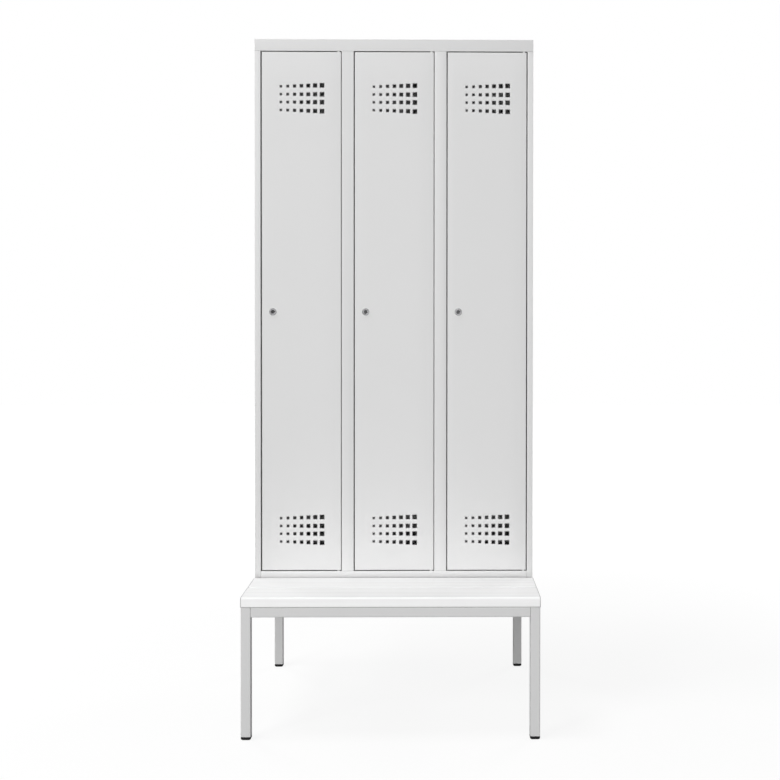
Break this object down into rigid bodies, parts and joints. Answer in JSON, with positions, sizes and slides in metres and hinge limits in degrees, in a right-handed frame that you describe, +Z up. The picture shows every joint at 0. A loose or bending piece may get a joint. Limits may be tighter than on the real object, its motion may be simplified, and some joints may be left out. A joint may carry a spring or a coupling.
{
  "type": "locker with bench",
  "caption": "Tall light-grey steel clothes locker with hinged doors, vented by square holes, standing on a tube frame whose front carries a two-slat seat.",
  "frame": {"origin": "on the floor, under the middle of the whole object's width and depth", "axes": "+X to the right as seen from the front, +Y from the seat into the cabinet, +Z up"},
  "size_m": [0.902, 0.791, 2.17],
  "materials": {
    "cabinet_paint": "satin light grey powder coat",
    "frame_paint": "satin light grey powder coat",
    "slat_plastic": "smooth off-white plastic",
    "cap_plastic": "moulded light grey plastic",
    "foot_plastic": "moulded black plastic",
    "hook_plastic": "moulded black plastic",
    "chrome": "dull chrome plate",
    "zinc_steel": "zinc plate"
  },
  "bodies": {
    "cabinet": {"side_panel_left": "cabinet_paint", "side_panel_right": "cabinet_paint", "back_panel": "cabinet_paint", "roof_panel": "cabinet_paint", "header_rail": "cabinet_paint", "sill_rail": "cabinet_paint", "base_pan": "cabinet_paint", "mullion_1": "cabinet_paint", "mullion_2": "cabinet_paint", "partition_1": "cabinet_paint", "partition_2": "cabinet_paint", "hat_shelf_1": "cabinet_paint", "hat_shelf_2": "cabinet_paint", "hat_shelf_3": "cabinet_paint", "clothes_rail_1": "zinc_steel", "clothes_rail_2": "zinc_steel", "clothes_rail_3": "zinc_steel", "leg_front_left": "frame_paint", "leg_front_right": "frame_paint", "leg_rear_left": "frame_paint", "leg_rear_right": "frame_paint", "bench_front_rail": "frame_paint", "bench_rear_rail": "frame_paint", "bench_cross_rail": "frame_paint", "bench_side_rail_left": "frame_paint", "bench_side_rail_right": "frame_paint", "seat_slat_front": "slat_plastic", "seat_slat_rear": "slat_plastic", "slat_end_cap_front_left": "cap_plastic", "slat_end_cap_front_right": "cap_plastic", "slat_end_cap_rear_left": "cap_plastic", "slat_end_cap_rear_right": "cap_plastic", "foot_plug_front_left": "foot_plastic", "foot_plug_front_right": "foot_plastic", "foot_plug_rear_left": "foot_plastic", "foot_plug_rear_right": "foot_plastic"},
    "door_1": {"door_1": "cabinet_paint", "hinge_pin_bottom_1": "zinc_steel", "hinge_pin_top_1": "zinc_steel", "lock_housing_1": "chrome", "lock_nut_1": "zinc_steel"},
    "lock_1": {"lock_plug_1": "chrome", "lock_cam_1": "zinc_steel"},
    "hook_1": {"coat_hook_1": "hook_plastic"},
    "door_2": {"door_2": "cabinet_paint", "hinge_pin_bottom_2": "zinc_steel", "hinge_pin_top_2": "zinc_steel", "lock_housing_2": "chrome", "lock_nut_2": "zinc_steel"},
    "lock_2": {"lock_plug_2": "chrome", "lock_cam_2": "zinc_steel"},
    "hook_2": {"coat_hook_2": "hook_plastic"},
    "door_3": {"door_3": "cabinet_paint", "hinge_pin_bottom_3": "zinc_steel", "hinge_pin_top_3": "zinc_steel", "lock_housing_3": "chrome", "lock_nut_3": "zinc_steel"},
    "lock_3": {"lock_plug_3": "chrome", "lock_cam_3": "zinc_steel"},
    "hook_3": {"coat_hook_3": "hook_plastic"}
  },
  "joints": [
    {"name": "door_1_hinge", "type": "hinge", "parent": "cabinet", "child": "door_1", "pos_m": [-0.18, -0.0995, 1.29], "axis": [0, 0, 1], "range_deg": [0, 110]},
    {"name": "lock_1_turn", "type": "hinge", "parent": "door_1", "child": "lock_1", "pos_m": [-0.392, -0.1045, 1.29], "axis": [0, 1, 0], "range_deg": [0, 90]},
    {"name": "hook_1_slide", "type": "slide", "parent": "cabinet", "child": "hook_1", "axis": [1, 0, 0], "range_m": [-0.13, 0.13]},
    {"name": "door_2_hinge", "type": "hinge", "parent": "cabinet", "child": "door_2", "pos_m": [0.12, -0.0995, 1.29], "axis": [0, 0, 1], "range_deg": [0, 110]},
    {"name": "lock_2_turn", "type": "hinge", "parent": "door_2", "child": "lock_2", "pos_m": [-0.092, -0.1045, 1.29], "axis": [0, 1, 0], "range_deg": [0, 90]},
    {"name": "hook_2_slide", "type": "slide", "parent": "cabinet", "child": "hook_2", "axis": [1, 0, 0], "range_m": [-0.13, 0.13]},
    {"name": "door_3_hinge", "type": "hinge", "parent": "cabinet", "child": "door_3", "pos_m": [0.42, -0.0995, 1.29], "axis": [0, 0, 1], "range_deg": [0, 110]},
    {"name": "lock_3_turn", "type": "hinge", "parent": "door_3", "child": "lock_3", "pos_m": [0.208, -0.1045, 1.29], "axis": [0, 1, 0], "range_deg": [0, 90]},
    {"name": "hook_3_slide", "type": "slide", "parent": "cabinet", "child": "hook_3", "axis": [1, 0, 0], "range_m": [-0.13, 0.13]}
  ]
}
